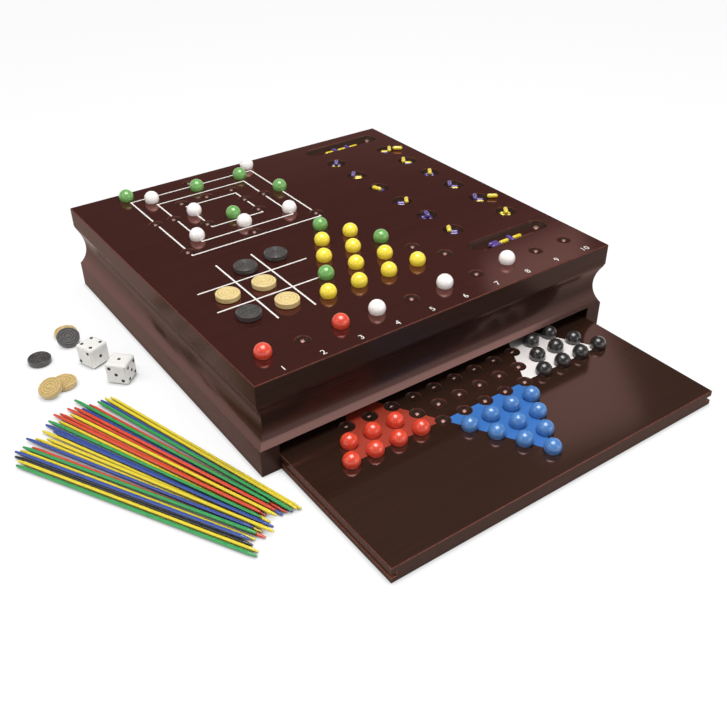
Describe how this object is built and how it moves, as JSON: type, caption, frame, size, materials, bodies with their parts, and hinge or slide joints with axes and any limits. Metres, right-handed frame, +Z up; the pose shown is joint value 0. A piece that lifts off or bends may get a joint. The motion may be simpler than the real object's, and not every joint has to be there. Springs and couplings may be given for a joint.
{
  "type": "games compendium box",
  "caption": "Square wooden games box with coved sides, seats and pits in its top board, a pull-out star board, marbles, draughts, dice, mancala stones and pick-up sticks set out for play.",
  "frame": {"origin": "on the table, under the middle of the top board", "axes": "+X right along the front, +Y to the back, +Z up; the star board slides out of the front along -Y"},
  "size_m": [0.5226, 0.5112, 0.0967],
  "materials": {
    "lacquered_wood": "dark mahogany stain under a semi-gloss lacquer",
    "lacquered_moulding": "dark mahogany stain under a semi-gloss lacquer",
    "raw_wood": "reddish wood, stained and left unlacquered",
    "screw_steel": "zinc plated",
    "blue_marble": "pearly gloss",
    "red_marble": "pearly gloss",
    "black_marble": "gloss",
    "green_marble": "gloss",
    "white_marble": "gloss",
    "yellow_marble": "gloss",
    "black_draught": "black paint, satin",
    "ivory_draught": "clear varnish on pale wood",
    "yellow_stone": "gloss",
    "purple_stone": "gloss",
    "white_die": "gloss, black painted pips",
    "yellow_stick": "gloss",
    "blue_stick": "gloss",
    "green_stick": "gloss",
    "red_stick": "gloss",
    "black_stick": "gloss"
  },
  "bodies": {
    "case": {"top_board": "lacquered_wood", "front_moulding": "lacquered_moulding", "back_moulding": "lacquered_moulding", "left_moulding": "lacquered_moulding", "right_moulding": "lacquered_moulding", "left_runner": "raw_wood", "right_runner": "raw_wood", "corner_blocks": "raw_wood", "corner_screws": "screw_steel"},
    "board": {"pull_out_board": "lacquered_wood", "star_inner_black_marbles": "black_marble"},
    "star_marbles": {"star_blue_marbles": "blue_marble", "star_red_marbles": "red_marble", "star_black_marbles": "black_marble"},
    "mill_marbles": {"mill_green_marbles": "green_marble", "mill_white_marbles": "white_marble"},
    "triangle_marbles": {"triangle_yellow_marbles": "yellow_marble", "triangle_green_marbles": "green_marble"},
    "row_marbles": {"row_red_marbles": "red_marble", "row_white_marbles": "white_marble"},
    "grid_draughts": {"grid_black_draughts": "black_draught", "grid_ivory_draughts": "ivory_draught"},
    "stones": {"yellow_stones": "yellow_stone", "purple_stones": "purple_stone"},
    "first_die": {"left_die": "white_die"},
    "second_die": {"right_die": "white_die"},
    "table_draughts": {"table_black_draughts": "black_draught", "table_ivory_draughts": "ivory_draught"},
    "sticks": {"yellow_sticks": "yellow_stick", "blue_sticks": "blue_stick", "green_sticks": "green_stick", "red_sticks": "red_stick", "black_stick": "black_stick"}
  },
  "joints": [
    {"name": "board_slide", "type": "slide", "parent": "case", "child": "board", "axis": [0, -1, 0], "range_m": [-0.142, 0.2]},
    {"name": "star_marbles_lift", "type": "slide", "parent": "board", "child": "star_marbles", "axis": [0, 0, 1], "range_m": [0, 0.012]},
    {"name": "mill_marbles_lift", "type": "slide", "parent": "case", "child": "mill_marbles", "axis": [0, 0, 1], "range_m": [0, 0.012]},
    {"name": "triangle_marbles_lift", "type": "slide", "parent": "case", "child": "triangle_marbles", "axis": [0, 0, 1], "range_m": [0, 0.012]},
    {"name": "row_marbles_lift", "type": "slide", "parent": "case", "child": "row_marbles", "axis": [0, 0, 1], "range_m": [0, 0.012]},
    {"name": "grid_draughts_lift", "type": "slide", "parent": "case", "child": "grid_draughts", "axis": [0, 0, 1], "range_m": [0, 0.012]},
    {"name": "stones_lift", "type": "slide", "parent": "case", "child": "stones", "axis": [0, 0, 1], "range_m": [0, 0.012]},
    {"name": "first_die_lift", "type": "slide", "parent": "case", "child": "first_die", "axis": [0, 0, 1], "range_m": [0, 0.015]},
    {"name": "second_die_lift", "type": "slide", "parent": "case", "child": "second_die", "axis": [0, 0, 1], "range_m": [0, 0.015]},
    {"name": "table_draughts_lift", "type": "slide", "parent": "case", "child": "table_draughts", "axis": [0, 0, 1], "range_m": [0, 0.015]},
    {"name": "sticks_lift", "type": "slide", "parent": "case", "child": "sticks", "axis": [0, 0, 1], "range_m": [0, 0.015]}
  ]
}
